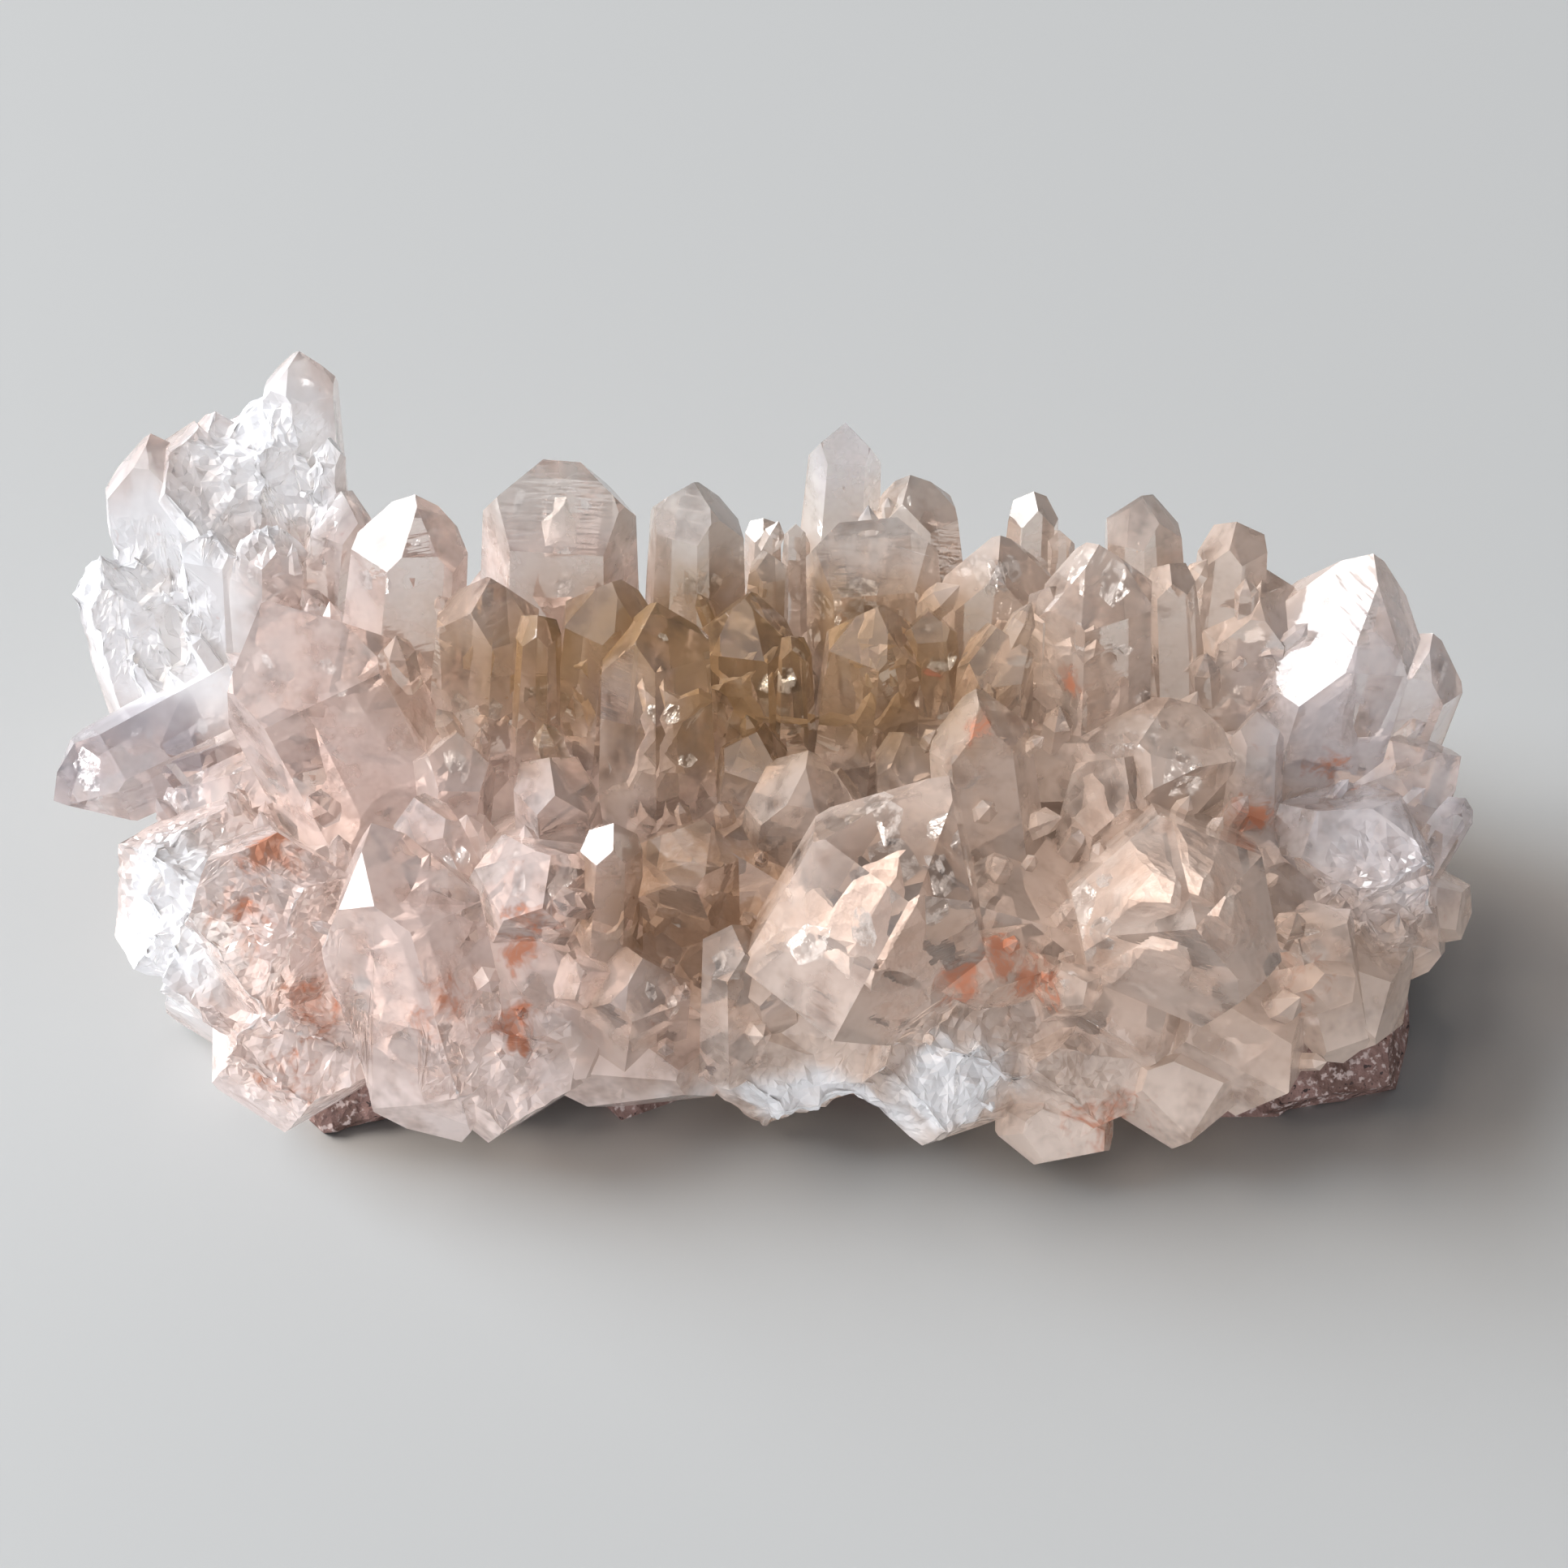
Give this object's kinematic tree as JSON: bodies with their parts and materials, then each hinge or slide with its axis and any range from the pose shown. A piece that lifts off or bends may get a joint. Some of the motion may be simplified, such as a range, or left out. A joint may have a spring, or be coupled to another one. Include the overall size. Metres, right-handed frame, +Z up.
{
  "type": "rough strawberry quartz cluster",
  "caption": "Loose cluster of clear to milky pink quartz crystals grown together on a thin slab of granular host rock, flat underneath.",
  "frame": {"origin": "under the middle of the specimen's box, on the plane it stands on", "axes": "+X along the specimen, +Y to its back, +Z up"},
  "size_m": [0.1316, 0.0628, 0.0455],
  "materials": {
    "quartz": "clear to milky pink quartz with glassy crystal faces, iron stains and cloudy roots",
    "host_rock": "dull granular mauve-brown rock with pale specks"
  },
  "bodies": {
    "root": {"crystals": "quartz", "matrix": "host_rock"}
  },
  "joints": []
}
